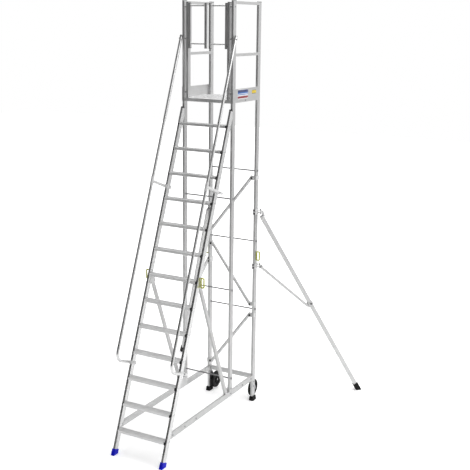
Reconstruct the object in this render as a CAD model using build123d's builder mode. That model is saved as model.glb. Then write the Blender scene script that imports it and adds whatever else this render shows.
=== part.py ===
from build123d import *
from math import atan, cos, radians, sin
import os

# A mobile platform ladder: inclined stringers with treads, four posts carrying a railed platform,
# two fixed wheels, two swinging outriggers, a double self-closing gate and four locking pins.
# +Z is up, the climber faces +Y, X = 0 is the mirror plane. Lengths are in millimetres.

# ---- driving dimensions -------------------------------------------------------------------
RISER = 250.0                      # height from tread to tread
TREADS = 13                        # the platform is one riser above the last tread
RUN = 0.39                         # horizontal travel of the stringers per unit of height
HALF_WIDTH = 290.0                 # middle plane of the side frames
FRONT = -1437.8                    # where the stringers' front faces meet the floor
FRONT_POST = FRONT + 1385.0        # middle of the front posts
REAR_POST = FRONT + 1929.0         # middle of the rear posts

SIDE, DEEP, WALL, CORNER = 25.0, 60.0, 2.0, 3.0     # main tube: across X, in the side plane
POST_TOP = 4480.0
PLATFORM = RISER * (TREADS + 1)
DECK_THICK = 32.0
SPLICE = 1690.0                    # height where lower and upper sections meet
PIN_HEIGHT, POST_PIN_HEIGHT = 1775.0, 1785.0
RAIL_LOW, RAIL_HIGH = 253.0, 313.0
TOP_RAIL, MID_RAIL, GUARD_HIGH = 4465.0, 3950.0, 30.0

TREAD_DEEP, TREAD_THICK, NOSE = 80.0, 27.0, 20.0
ROD_R, FRONT_RODS, REAR_RODS = 7.0, (460.0, 1472.0, 2470.0), (1108.0, 1902.0, 2694.0)
BRACE_DEEP, BRACE_TOP, BRACE_FOOT = 40.0, (727.0, 1699.0), (1285.0, RAIL_HIGH)
DIAGONAL_R, DIAGONAL_Y, DIAGONAL_END = 18.0, REAR_POST - 26.0, 243.0
DIAGONALS = ((2617.0, 2000.0), (1172.0, 1816.0), (1040.0, 389.0))    # heights: right, left end
CLAMP_HIGH = 44.0

HAND_X, HAND_R, HAND_FORWARD = 322.0, 15.0, 242.0
HAND_TOP, HAND_JOINT, HAND_CORNER = 4132.0, 2692.0, 967.0
HAND_RETURN, HAND_BEND = 325.0, 90.0
SADDLE, SADDLE_HIGH = 4.3, 34.0

GATE_POST_X, GATE_POST_DEEP, GATE_POST_TOP = 243.0, 50.0, 4464.0
STILE, STILE_LOW, STILE_HIGH = 25.0, 4012.0, 4455.0
STILE_OUT, STILE_IN = 215.5, 25.0
GATE_BARS, GATE_BAR_R = (4053.0, 4433.0), 8.0
HINGE_X, HINGE_BACK, HINGES = 221.5, 8.0, (4072.0, 4400.0)
HINGE_PIN_R, BARREL_R, BARREL_HIGH = 3.0, 6.0, 20.0

WHEEL_R, WHEEL_WIDE, TYRE_IN, AXLE_R = 100.0, 32.0, 72.0, 6.0
WHEEL_X, WHEEL_Y, WHEEL_Z = 248.0, FRONT + 2010.0, 115.0
BRACKET = 6.0

SWING_X, SWING_Y = 332.0, FRONT + 1966.0            # vertical axis of an outrigger
SWING_PIN_R, SWING_BARREL_R, SWING_BARREL_HIGH = 5.0, 10.0, 22.0
STANCE = radians(43.7)                              # outriggers' turn from the X axis at rest
LEG_HIGH, STRUT_HIGH = 2237.0, 1616.0
LEG, LEG_REACH, LEG_LEAN = 45.0, 1266.0, 0.574      # reach at the floor, travel per unit height
STRUT, STRUT_START, STRUT_END = 30.0, (14.0, 1601.0), (588.0, 1098.0)
LEG_CLAMP = 1131.0
COLLAR_WALL, COLLAR_HIGH, EAR = 6.0, 60.0, 5.0

LOCK_R, LOCK_OUT, LOCK_HIGH, LOCK_RIM = 5.0, 48.0, 112.0, 12.0
RUNNING = 0.06                     # radial clearance of a running fit
END_GAP = 0.7                      # axial clearance of a hinge barrel

# ---- derived directions and places ------------------------------------------------------------
LEAN = atan(RUN)
UP_SLOPE = Vector(0, sin(LEAN), cos(LEAN))          # along the stringers
ACROSS = Vector(0, cos(LEAN), -sin(LEAN))           # square to them, towards the rear
INNER, OUTER = HALF_WIDTH - SIDE / 2, HALF_WIDTH + SIDE / 2
SIDES = (("left", -1), ("right", 1))


def front_y(z):
    """Y of the stringers' front faces at a height."""
    return FRONT + RUN * z


def stringer_mid(x, z):
    """A point on a stringer's centre line."""
    return Vector(x, front_y(z) + DEEP / 2 / cos(LEAN), z)


def hand_mid(x, z):
    """A point on a handrail's centre line."""
    return Vector(x, front_y(z) - HAND_FORWARD, z)


def tube(start, end, across, deep, x_dir=(1, 0, 0), wall=WALL):
    """A rectangular tube with rounded corners between two points."""
    run = Vector(*end) - Vector(*start)
    with BuildSketch(Plane(origin=start, x_dir=x_dir, z_dir=run)) as section:
        RectangleRounded(across, deep, CORNER)
        RectangleRounded(across - 2 * wall, deep - 2 * wall, CORNER / 2, mode=Mode.SUBTRACT)
    extrude(section.sketch, amount=run.length)


def bar(start, end, across, deep, x_dir=(1, 0, 0), mode=Mode.ADD):
    """A solid rounded bar between two points, or the room for one."""
    run = Vector(*end) - Vector(*start)
    with BuildSketch(Plane(origin=start, x_dir=x_dir, z_dir=run)) as section:
        RectangleRounded(across, deep, CORNER)
    extrude(section.sketch, amount=run.length, mode=mode)


def rod(start, end, radius, mode=Mode.ADD):
    """A round bar between two points, or the hole for one."""
    run = Vector(*end) - Vector(*start)
    with BuildSketch(Plane(origin=start, z_dir=run)) as section:
        Circle(radius)
    extrude(section.sketch, amount=run.length, mode=mode)


def block(low, high, mode=Mode.ADD):
    """A box between two opposite corners."""
    size = [b - a for a, b in zip(low, high)]
    middle = [(a + b) / 2 for a, b in zip(low, high)]
    with Locations(Location(tuple(middle))):
        Box(*size, mode=mode)


def side_plate(outline, x_low, x_high, mode=Mode.ADD):
    """A flat plate between two X planes, drawn by its (Y, Z) corners."""
    with BuildSketch(Plane(origin=(x_low, 0, 0), x_dir=(0, 1, 0), z_dir=(1, 0, 0))) as section:
        with BuildLine():
            Polyline(*outline, close=True)
        make_face()
    extrude(section.sketch, amount=x_high - x_low, mode=mode)


def span(sign, near, far):
    """Lower and upper X of a piece between two distances from the mirror plane."""
    return (near, far) if sign > 0 else (-far, -near)


def save(piece, name):
    """Label a finished piece and write its STEP file."""
    piece.part.label = name
    export_step(piece.part, f"parts/{name}.step")


os.makedirs("parts", exist_ok=True)

# ---- stringers, splices and feet ---------------------------------------------------------------
for side, sign in SIDES:
    x = sign * HALF_WIDTH
    with BuildPart() as stringer_lower:
        tube(stringer_mid(x, 22), stringer_mid(x, SPLICE), SIDE, DEEP)
    save(stringer_lower, f"stringer_lower_{side}")

    with BuildPart() as stringer_upper:
        tube(stringer_mid(x, SPLICE), stringer_mid(x, 3385), SIDE, DEEP)
        split(bisect_by=Plane(origin=(0, FRONT_POST - DEEP / 2, 0), z_dir=(0, -1, 0)))
        hole = stringer_mid(x, PIN_HEIGHT)
        rod(hole - (20, 0, 0), hole + (20, 0, 0), LOCK_R + RUNNING, Mode.SUBTRACT)
    save(stringer_upper, f"stringer_upper_{side}")

splice_across, splice_deep = SIDE - 2 * WALL - 0.6, DEEP - 2 * WALL - 0.6
with BuildPart() as splice_tubes:
    for side, sign in SIDES:
        x = sign * HALF_WIDTH
        tube(stringer_mid(x, 1590), stringer_mid(x, 1850), splice_across, splice_deep)
        tube((x, REAR_POST, 1590), (x, REAR_POST, 1850), splice_across, splice_deep)
        for hole in (stringer_mid(x, PIN_HEIGHT), Vector(x, REAR_POST, POST_PIN_HEIGHT)):
            rod(hole - (20, 0, 0), hole + (20, 0, 0), LOCK_R + RUNNING, Mode.SUBTRACT)
save(splice_tubes, "splice_tubes")

with BuildPart() as front_feet:
    for side, sign in SIDES:
        x = sign * HALF_WIDTH
        bar(stringer_mid(x, 52), stringer_mid(x, -40), SIDE + 16, DEEP + 16)
    split(bisect_by=Plane.XY)
    for side, sign in SIDES:
        x = sign * HALF_WIDTH
        bar(stringer_mid(x, 22), stringer_mid(x, 80), SIDE, DEEP, mode=Mode.SUBTRACT)
save(front_feet, "front_feet")

# ---- treads -----------------------------------------------------------------------------------
GROOVE, GROOVES, GROOVE_DEEP = 8.0, 9, 1.5
for number in range(1, TREADS + 1):
    top = RISER * number
    nose = Plane(origin=(-INNER, front_y(top) - NOSE, top), x_dir=(0, 1, 0), z_dir=(1, 0, 0))
    with BuildPart() as tread:
        with BuildSketch(nose):
            with Locations((TREAD_DEEP / 2, -TREAD_THICK / 2)):
                RectangleRounded(TREAD_DEEP, TREAD_THICK, 2.5)
            with Locations((TREAD_DEEP * 0.27, -TREAD_THICK / 2 - 0.75),
                           (TREAD_DEEP * 0.73, -TREAD_THICK / 2 - 0.75)):
                RectangleRounded(TREAD_DEEP * 0.42, TREAD_THICK - 5.5, 1.5, mode=Mode.SUBTRACT)
            with Locations((TREAD_DEEP / 2, -GROOVE_DEEP / 2)):
                with GridLocations(GROOVE, 1, GROOVES, 1):
                    Rectangle(GROOVE / 2, GROOVE_DEEP, mode=Mode.SUBTRACT)
        extrude(amount=2 * INNER)
    save(tread, f"tread_{number:02d}")

with BuildPart() as tread_end_plugs:
    for number in range(1, TREADS + 1):
        top = RISER * number
        y = front_y(top)
        drop = RUN * (TREAD_THICK + 1)
        outline = ((y - NOSE, top - 1), (y - 2, top - 1),
                   (y - 2 - drop, top - TREAD_THICK), (y - NOSE, top - TREAD_THICK))
        for side, sign in SIDES:
            side_plate(outline, *span(sign, INNER, INNER + 12))
save(tread_end_plugs, "tread_end_plugs")

# ---- posts and their feet ---------------------------------------------------------------------
with BuildPart() as front_posts:
    for side, sign in SIDES:
        x = sign * HALF_WIDTH
        tube((x, FRONT_POST, RAIL_HIGH), (x, FRONT_POST, POST_TOP), SIDE, DEEP)
        for z in FRONT_RODS:
            rod((x - 20, FRONT_POST, z), (x + 20, FRONT_POST, z), ROD_R, Mode.SUBTRACT)
save(front_posts, "front_posts")

with BuildPart() as rear_posts_lower:
    for side, sign in SIDES:
        x = sign * HALF_WIDTH
        tube((x, REAR_POST, 12), (x, REAR_POST, SPLICE), SIDE, DEEP)
        rod((x - 20, REAR_POST, REAR_RODS[0]), (x + 20, REAR_POST, REAR_RODS[0]), ROD_R, Mode.SUBTRACT)
save(rear_posts_lower, "rear_posts_lower")

with BuildPart() as rear_posts_upper:
    for side, sign in SIDES:
        x = sign * HALF_WIDTH
        tube((x, REAR_POST, SPLICE), (x, REAR_POST, POST_TOP), SIDE, DEEP)
        for z in REAR_RODS[1:]:
            rod((x - 20, REAR_POST, z), (x + 20, REAR_POST, z), ROD_R, Mode.SUBTRACT)
        rod((x - 20, REAR_POST, POST_PIN_HEIGHT), (x + 20, REAR_POST, POST_PIN_HEIGHT),
            LOCK_R + RUNNING, Mode.SUBTRACT)
save(rear_posts_upper, "rear_posts_upper")

with BuildPart() as rear_feet:
    for side, sign in SIDES:
        x = sign * HALF_WIDTH
        with BuildSketch(Plane(origin=(x, REAR_POST, 0))) as sole:
            RectangleRounded(SIDE + 34, DEEP + 32, 12)
        extrude(sole.sketch, amount=50, taper=8)
        bar((x, REAR_POST, 12), (x, REAR_POST, 60), SIDE, DEEP, mode=Mode.SUBTRACT)
save(rear_feet, "rear_feet")

CAP = 5.0
with BuildPart() as tube_caps:
    for side, sign in SIDES:
        x = sign * HALF_WIDTH
        for y in (FRONT_POST, REAR_POST):
            bar((x, y, POST_TOP), (x, y, POST_TOP + CAP), SIDE + 1, DEEP + 1)
        gate_x = sign * GATE_POST_X
        bar((gate_x, FRONT_POST - 5, GATE_POST_TOP), (gate_x, FRONT_POST - 5, GATE_POST_TOP + CAP),
            SIDE, GATE_POST_DEEP)
        bar(stringer_mid(x, 3385), stringer_mid(x, 3385) + 2.6 * CAP * UP_SLOPE, SIDE, DEEP)
        top = hand_mid(sign * HAND_X, HAND_TOP)
        rod(top, top + CAP * UP_SLOPE, HAND_R + 0.5)
    block((-OUTER - 1, FRONT_POST - DEEP / 2, 3300), (OUTER + 1, FRONT_POST + DEEP, 3420), Mode.SUBTRACT)
save(tube_caps, "tube_caps")

# ---- base rails, braces, diagonals and tie rods --------------------------------------------------
rail_mid, rail_deep = (RAIL_LOW + RAIL_HIGH) / 2, RAIL_HIGH - RAIL_LOW
behind_stringer = Plane(origin=stringer_mid(0, 0) + DEEP / 2 * ACROSS, z_dir=ACROSS)
with BuildPart() as base_rails:
    for side, sign in SIDES:
        x = sign * HALF_WIDTH
        tube((x, FRONT + 90, rail_mid), (x, REAR_POST - DEEP / 2, rail_mid), SIDE, rail_deep)
    split(bisect_by=behind_stringer)
    tube((-INNER, REAR_POST, 290), (INNER, REAR_POST, 290), SIDE, 50, x_dir=(0, 1, 0))
save(base_rails, "base_rails")

with BuildPart() as side_braces:
    top, foot = Vector(0, FRONT + BRACE_TOP[0], BRACE_TOP[1]), Vector(0, FRONT + BRACE_FOOT[0], BRACE_FOOT[1])
    more = (top - foot).normalized() * 60
    for side, sign in SIDES:
        shift = Vector(sign * HALF_WIDTH, 0, 0)
        tube(foot - more + shift, top + more + shift, SIDE, BRACE_DEEP)
    split(bisect_by=behind_stringer)
    split(bisect_by=Plane.XY.offset(RAIL_HIGH))
save(side_braces, "side_braces")

with BuildPart() as rear_diagonals:
    for right_z, left_z in DIAGONALS:
        start, end = Vector(DIAGONAL_END, DIAGONAL_Y, right_z), Vector(-DIAGONAL_END, DIAGONAL_Y, left_z)
        more = (end - start).normalized() * 30
        rod(start - more, end + more, DIAGONAL_R)
        rod(start - more, end + more, DIAGONAL_R - WALL, Mode.SUBTRACT)
    for sign in (-1, 1):
        low, high = span(sign, DIAGONAL_END, DIAGONAL_END + 60)
        block((low, DIAGONAL_Y - 30, 300), (high, DIAGONAL_Y + 30, 2800), Mode.SUBTRACT)
save(rear_diagonals, "rear_diagonals")

with BuildPart() as diagonal_clamps:
    for right_z, left_z in DIAGONALS:
        for sign, z in ((1, right_z), (-1, left_z)):
            x, low, high = sign * HALF_WIDTH, z - CLAMP_HIGH / 2, z + CLAMP_HIGH / 2
            bar((x, REAR_POST, low), (x, REAR_POST, high), SIDE + 10, DEEP + 10)
            near, far = span(sign, DIAGONAL_END, INNER - 5)
            block((near, DIAGONAL_Y - 16, low), (far, DIAGONAL_Y + 16, high))
            knob = Vector(sign * (DIAGONAL_END + 14), DIAGONAL_Y - 16, z)
            rod(knob, knob - (0, 12, 0), 8)
            bar((x, REAR_POST, low), (x, REAR_POST, high), SIDE, DEEP, mode=Mode.SUBTRACT)
save(diagonal_clamps, "diagonal_clamps")

with BuildPart() as tie_rods:
    for y, heights in ((FRONT_POST, FRONT_RODS), (REAR_POST, REAR_RODS)):
        for z in heights:
            rod((-OUTER - 8, y, z), (OUTER + 8, y, z), ROD_R)
save(tie_rods, "tie_rods")

PLATES = (((150, 262), (235, 262), (252, 304), (172, 304)),
          ((1255, 262), (1400, 262), (1400, 362), (1270, 362)),
          ((1820, 262), (1912, 262), (1912, 304), (1820, 304)),
          ((672, 1650), (740, 1620), (785, 1650), (757, 1716), (700, 1716)))
with BuildPart() as joint_plates:
    for outline in PLATES:
        for side, sign in SIDES:
            side_plate([(FRONT + y, z) for y, z in outline], *span(sign, INNER - 3, INNER))
save(joint_plates, "joint_plates")

# ---- platform ---------------------------------------------------------------------------------
PLANKS, PLANK_GAP = 3, 2.0
deck_front, deck_back = FRONT_POST - DEEP / 2 + 25, REAR_POST + DEEP / 2 - 25
plank_wide = (deck_back - deck_front - PLANK_GAP * (PLANKS + 1)) / PLANKS
with BuildPart() as deck_planks:
    for index in range(PLANKS):
        y = deck_front + PLANK_GAP + index * (plank_wide + PLANK_GAP)
        end = Plane(origin=(-INNER + 0.5, y + plank_wide / 2, PLATFORM), x_dir=(0, 1, 0), z_dir=(1, 0, 0))
        with BuildSketch(end):
            with Locations((0, -DECK_THICK / 2)):
                RectangleRounded(plank_wide, DECK_THICK, 2)
                with GridLocations(plank_wide / 3, 1, 3, 1):
                    Rectangle(plank_wide / 3 - 3, DECK_THICK - 6, mode=Mode.SUBTRACT)
            with Locations((0, -GROOVE_DEEP / 2)):
                with GridLocations(GROOVE, 1, int(plank_wide / GROOVE) - 1, 1):
                    Rectangle(GROOVE / 2, GROOVE_DEEP, mode=Mode.SUBTRACT)
        extrude(amount=2 * INNER - 1)
save(deck_planks, "deck_planks")

with BuildPart() as deck_frame:
    for y in (deck_front - 12.5, deck_back + 12.5):
        z = PLATFORM - 18.5
        tube((-INNER, y, z), (INNER, y, z), 25, 37, x_dir=(0, 1, 0))
    for side, sign in SIDES:
        x, z = sign * HALF_WIDTH, PLATFORM - DECK_THICK / 2
        tube((x, FRONT_POST + DEEP / 2, z), (x, REAR_POST - DEEP / 2, z), SIDE, DECK_THICK)
save(deck_frame, "deck_frame")

TOE_LOW, TOE_HIGH, TOE_THICK, TOE_HEM = 3468.0, 3608.0, 2.5, 8.0
with BuildPart() as toe_boards:
    for side, sign in SIDES:
        front, back = FRONT_POST - DEEP / 2, REAR_POST - DEEP / 2 + 14
        low, high = span(sign, OUTER, OUTER + TOE_THICK)
        block((low, front, TOE_LOW), (high, back, TOE_HIGH))
        low, high = span(sign, OUTER, OUTER + TOE_HEM)
        block((low, front, TOE_HIGH - TOE_THICK), (high, back, TOE_HIGH))
        block((low, front, TOE_LOW), (high, back, TOE_LOW + TOE_THICK))
save(toe_boards, "toe_boards")

with BuildPart() as guard_rails:
    for side, sign in SIDES:
        x = sign * HALF_WIDTH
        for z in (TOP_RAIL, MID_RAIL):
            tube((x, FRONT_POST + DEEP / 2, z), (x, REAR_POST - DEEP / 2, z), SIDE, GUARD_HIGH)
save(guard_rails, "guard_rails")

# ---- gate --------------------------------------------------------------------------------------
GATE_FRONT = FRONT_POST - DEEP / 2
STILE_Y, HINGE_Y = GATE_FRONT + STILE / 2, GATE_FRONT + STILE + HINGE_BACK
SPACERS = (3560.0, 4105.0, 4425.0)
with BuildPart() as gate_posts:
    for side, sign in SIDES:
        x, y = sign * GATE_POST_X, GATE_FRONT + GATE_POST_DEEP / 2
        tube((x, y, PLATFORM), (x, y, GATE_POST_TOP), SIDE, GATE_POST_DEEP)
        for z in SPACERS:
            low, high = span(sign, GATE_POST_X + SIDE / 2, INNER)
            rod((low, y, z), (high, y, z), 10)
save(gate_posts, "gate_posts")

with BuildPart() as gate_hinges:
    for side, sign in SIDES:
        x = sign * HINGE_X
        for z in HINGES:
            rod((x, HINGE_Y, z - 20), (x, HINGE_Y, z + 20), HINGE_PIN_R)
            low, high = span(sign, HINGE_X, GATE_POST_X - SIDE / 2)
            for ear in (z - BARREL_HIGH / 2 - END_GAP - 5, z + BARREL_HIGH / 2 + END_GAP):
                rod((x, HINGE_Y, ear), (x, HINGE_Y, ear + 5), 6.5)
                block((low, HINGE_Y - 6.5, ear), (high, HINGE_Y + 6.5, ear + 5))
save(gate_hinges, "gate_hinges")

for side, sign in SIDES:
    outer, inner, hinge = sign * STILE_OUT, sign * STILE_IN, sign * HINGE_X
    with BuildPart() as gate:
        for x in (outer, inner):
            tube((x, STILE_Y, STILE_LOW), (x, STILE_Y, STILE_HIGH), STILE, STILE)
        low, high = span(sign, STILE_IN + STILE / 2, STILE_OUT - STILE / 2)
        for z in GATE_BARS:
            rod((low, STILE_Y, z), (high, STILE_Y, z), GATE_BAR_R)
        for z in HINGES:
            bottom, top = z - BARREL_HIGH / 2, z + BARREL_HIGH / 2
            rod((hinge, HINGE_Y, bottom), (hinge, HINGE_Y, top), BARREL_R)
            block((hinge - 5, GATE_FRONT + STILE, bottom), (hinge + 5, HINGE_Y, top))
            rod((hinge, HINGE_Y, bottom), (hinge, HINGE_Y, top), HINGE_PIN_R + RUNNING, Mode.SUBTRACT)
    save(gate, f"gate_{side}")

    with BuildPart() as gate_caps:
        for x in (outer, inner):
            for z in (STILE_LOW - 4, STILE_HIGH):
                bar((x, STILE_Y, z), (x, STILE_Y, z + 4), STILE, STILE)
    save(gate_caps, f"gate_caps_{side}")

# ---- handrails ---------------------------------------------------------------------------------
with BuildPart() as handrails:
    for side, sign in SIDES:
        x = sign * HAND_X
        joint, top, corner = hand_mid(x, HAND_JOINT), hand_mid(x, HAND_TOP), hand_mid(x, HAND_CORNER)
        rod(joint, top, HAND_R)
        rod(joint, top, HAND_R - WALL, Mode.SUBTRACT)
        tail = corner + HAND_RETURN * ACROSS
        with BuildLine() as route:
            FilletPolyline(joint - 0.2 * UP_SLOPE, corner, tail, radius=HAND_BEND)
        with BuildSketch(Plane(origin=joint - 0.2 * UP_SLOPE, x_dir=(1, 0, 0), z_dir=-UP_SLOPE)) as ring:
            Circle(HAND_R)
            Circle(HAND_R - WALL, mode=Mode.SUBTRACT)
        sweep(ring.sketch, path=route.line)
save(handrails, "handrails")

hand_gap = (HAND_FORWARD - DEEP / 2 / cos(LEAN)) * cos(LEAN)
saddle_depth = HAND_FORWARD * cos(LEAN)
SADDLES = (HAND_CORNER, HAND_JOINT)
with BuildPart() as handrail_brackets:
    for side, sign in SIDES:
        x, hand_x = sign * HALF_WIDTH, sign * HAND_X
        for z in SADDLES:
            front = hand_mid(x, z) + saddle_depth * ACROSS
            back = front + (DEEP + 16) * ACROSS
            bar(front - SADDLE * ACROSS, back, SIDE + 2 * SADDLE, SADDLE_HIGH)
            bar(front, back + ACROSS, SIDE, SADDLE_HIGH + 10, mode=Mode.SUBTRACT)
        joint = hand_mid(hand_x, HAND_JOINT)
        rod(joint - 45 * UP_SLOPE, joint + 45 * UP_SLOPE, HAND_R + 3)
        tube(joint, joint + (saddle_depth + DEEP + 40) * ACROSS, 2 * HAND_R, 25)
        rod(joint - 45 * UP_SLOPE, joint + 45 * UP_SLOPE, HAND_R, Mode.SUBTRACT)
        bolt = hand_mid(hand_x, HAND_TOP - 27)
        low, high = span(sign, OUTER, HAND_X - HAND_R)
        rod((low, bolt.Y + 10, bolt.Z), (high, bolt.Y + 10, bolt.Z), 10)
save(handrail_brackets, "handrail_brackets")

# ---- wheels -------------------------------------------------------------------------------------
BRACKET_TOP, BRACKET_LOW, BOSS_R = 250.0, 150.0, 22.0
with BuildPart() as wheel_brackets:
    for side, sign in SIDES:
        low, high = span(sign, INNER - BRACKET, INNER)
        with BuildSketch(Plane(origin=(low, 0, 0), x_dir=(0, 1, 0), z_dir=(1, 0, 0))) as outline:
            with Locations((REAR_POST, (BRACKET_TOP + BRACKET_LOW) / 2)):
                Rectangle(52, BRACKET_TOP - BRACKET_LOW)
            with Locations((WHEEL_Y, WHEEL_Z)):
                Circle(BOSS_R)
            make_hull()
        extrude(outline.sketch, amount=BRACKET)
        low, high = span(sign, WHEEL_X - WHEEL_WIDE / 2 - 6, INNER)
        rod((low, WHEEL_Y, WHEEL_Z), (high, WHEEL_Y, WHEEL_Z), AXLE_R)
        low, high = span(sign, WHEEL_X + WHEEL_WIDE / 2 + 1, INNER - BRACKET)
        rod((low, WHEEL_Y, WHEEL_Z), (high, WHEEL_Y, WHEEL_Z), 10)
        low, high = span(sign, WHEEL_X - WHEEL_WIDE / 2 - 5, WHEEL_X - WHEEL_WIDE / 2 - 1)
        rod((low, WHEEL_Y, WHEEL_Z), (high, WHEEL_Y, WHEEL_Z), 11)
save(wheel_brackets, "wheel_brackets")

for side, sign in SIDES:
    inner_face = sign * WHEEL_X - WHEEL_WIDE / 2
    spin = Plane(origin=(inner_face, WHEEL_Y, WHEEL_Z), x_dir=(0, 1, 0), z_dir=(1, 0, 0))
    with BuildPart() as tyre:
        with BuildSketch(spin):
            Circle(WHEEL_R)
            Circle(TYRE_IN, mode=Mode.SUBTRACT)
        extrude(amount=WHEEL_WIDE)
        fillet(tyre.edges().filter_by(GeomType.CIRCLE).group_by(SortBy.RADIUS)[-1], radius=9)
    save(tyre, f"wheel_tyre_{side}")

    with BuildPart() as hub:
        with BuildSketch(spin.offset(WHEEL_WIDE / 2 - 5)):
            Circle(TYRE_IN)
        extrude(amount=10)
        with BuildSketch(spin.offset(5)):
            with PolarLocations(40, 8):
                Rectangle(54, 4)
        extrude(amount=WHEEL_WIDE - 10)
        with BuildSketch(spin.offset(2)):
            Circle(TYRE_IN)
            Circle(TYRE_IN - 9, mode=Mode.SUBTRACT)
        extrude(amount=WHEEL_WIDE - 4)
        with BuildSketch(spin):
            Circle(17)
        extrude(amount=WHEEL_WIDE)
        rod((inner_face, WHEEL_Y, WHEEL_Z), (inner_face + WHEEL_WIDE, WHEEL_Y, WHEEL_Z),
            AXLE_R + RUNNING, Mode.SUBTRACT)
    save(hub, f"wheel_hub_{side}")

# ---- outriggers ---------------------------------------------------------------------------------
with BuildPart() as outrigger_collars:
    for side, sign in SIDES:
        x, swing = sign * HALF_WIDTH, sign * SWING_X
        for z in (LEG_HIGH, STRUT_HIGH):
            low, high = z - COLLAR_HIGH / 2, z + COLLAR_HIGH / 2
            bar((x, REAR_POST, low), (x, REAR_POST, high), SIDE + 2 * COLLAR_WALL, DEEP + 2 * COLLAR_WALL)
            bar((x, REAR_POST, low), (x, REAR_POST, high), SIDE, DEEP, mode=Mode.SUBTRACT)
            rod((swing, SWING_Y, z - 22), (swing, SWING_Y, z + 22), SWING_PIN_R)
            near, far = span(sign, OUTER + COLLAR_WALL - 4, SWING_X)
            for ear in (z - SWING_BARREL_HIGH / 2 - END_GAP - EAR, z + SWING_BARREL_HIGH / 2 + END_GAP):
                rod((swing, SWING_Y, ear), (swing, SWING_Y, ear + EAR), SWING_BARREL_R)
                block((near, SWING_Y - SWING_BARREL_R, ear), (far, SWING_Y + SWING_BARREL_R, ear + EAR))
                root = span(sign, OUTER + COLLAR_WALL - 4, OUTER + COLLAR_WALL + 8)
                block((root[0], SWING_Y - 24, ear), (root[1], SWING_Y, ear + EAR))
save(outrigger_collars, "outrigger_collars")


def leg_reach(z):
    """Distance of an outrigger leg's centre line from its swing axis at a height."""
    return LEG_REACH - LEG_LEAN * z


def swing_plate(plane, outline, thick):
    """A plate lying in an outrigger's vertical plane, drawn by (reach, height)."""
    with BuildSketch(plane.offset(-thick / 2)) as section:
        with BuildLine():
            Polyline(*outline, close=True)
        make_face()
    extrude(section.sketch, amount=thick)


for side, sign in SIDES:
    out = Vector(sign * cos(STANCE), sin(STANCE), 0)
    level = out.cross(Vector(0, 0, 1))
    upright = Plane(origin=(sign * SWING_X, SWING_Y, 0), x_dir=out, z_dir=level)

    def at(reach, z):
        """A point of this outrigger by its reach and height."""
        return upright.from_local_coords((reach, z, 0))

    leg_top, leg_end, sleeve_top, boot_top = [at(leg_reach(z), z) for z in (2185, 40, LEG_CLAMP, 85)]
    down = (leg_end - leg_top).normalized()
    with BuildPart() as leg:
        tube(leg_top, leg_end, LEG, LEG, level)
        swing_plate(upright, ((6, LEG_HIGH - 10), (6, LEG_HIGH + 10), (30, LEG_HIGH + 10),
                              (52, LEG_HIGH - 50), (30, LEG_HIGH - 75), (13, LEG_HIGH - 34),
                              (13, LEG_HIGH - 10)), 6)
        rod(at(0, LEG_HIGH - 11), at(0, LEG_HIGH + 11), SWING_BARREL_R)
        rod(at(0, LEG_HIGH - 11), at(0, LEG_HIGH + 11), SWING_PIN_R + RUNNING, Mode.SUBTRACT)
    save(leg, f"outrigger_leg_{side}")

    with BuildPart() as strut:
        tube(at(*STRUT_START), at(*STRUT_END), STRUT, STRUT, level)
        swing_plate(upright, ((6, STRUT_HIGH - 10), (6, STRUT_HIGH + 10), (28, STRUT_HIGH + 10),
                              (50, STRUT_HIGH - 30), (34, STRUT_HIGH - 34), (13, STRUT_HIGH - 14),
                              (13, STRUT_HIGH - 10)), 6)
        rod(at(0, STRUT_HIGH - 11), at(0, STRUT_HIGH + 11), SWING_BARREL_R)
        rod(at(0, STRUT_HIGH - 11), at(0, STRUT_HIGH + 11), SWING_PIN_R + RUNNING, Mode.SUBTRACT)
        bar(sleeve_top - 23 * down, sleeve_top + 23 * down, LEG + 12, LEG + 12, level)
        swing_plate(upright, ((604, 1156), (634, 1096), (600, 1080), (566, 1122)), 8)
        bar(sleeve_top - 60 * down, sleeve_top + 90 * down, LEG, LEG, level, Mode.SUBTRACT)
    save(strut, f"outrigger_strut_{side}")

    with BuildPart() as foot:
        bar(boot_top, boot_top + 150 * down, LEG + 14, LEG + 14, level)
        split(bisect_by=Plane.XY)
        bar(leg_end, boot_top - 20 * down, LEG, LEG, level, Mode.SUBTRACT)
        knob = at(leg_reach(LEG_CLAMP), LEG_CLAMP) + (LEG / 2 + 6) * level
        rod(knob, knob + 14 * level, 9)
    save(foot, f"outrigger_foot_{side}")

# ---- locking pins --------------------------------------------------------------------------------
PINS = (("stringer", stringer_mid(0, PIN_HEIGHT)), ("post", Vector(0, REAR_POST, POST_PIN_HEIGHT)))
for place, centre in PINS:
    for side, sign in SIDES:
        grip = span(sign, OUTER + 3, OUTER + 3 + LOCK_OUT)
        loop = Plane(origin=(sum(grip) / 2, centre.Y, centre.Z + LOCK_R - LOCK_HIGH / 2),
                     x_dir=(1, 0, 0), z_dir=(0, -1, 0))
        with BuildPart() as lock_pin:
            with BuildSketch(loop.offset(-LOCK_RIM / 2)):
                RectangleRounded(LOCK_OUT, LOCK_HIGH, 12)
                RectangleRounded(LOCK_OUT - 2 * LOCK_RIM, LOCK_HIGH - 2 * LOCK_RIM, 4, mode=Mode.SUBTRACT)
            extrude(amount=LOCK_RIM)
            low, high = span(sign, INNER - 9, OUTER + 12)
            rod((low, centre.Y, centre.Z), (high, centre.Y, centre.Z), LOCK_R)
        save(lock_pin, f"lock_pin_{place}_{side}")

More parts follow.
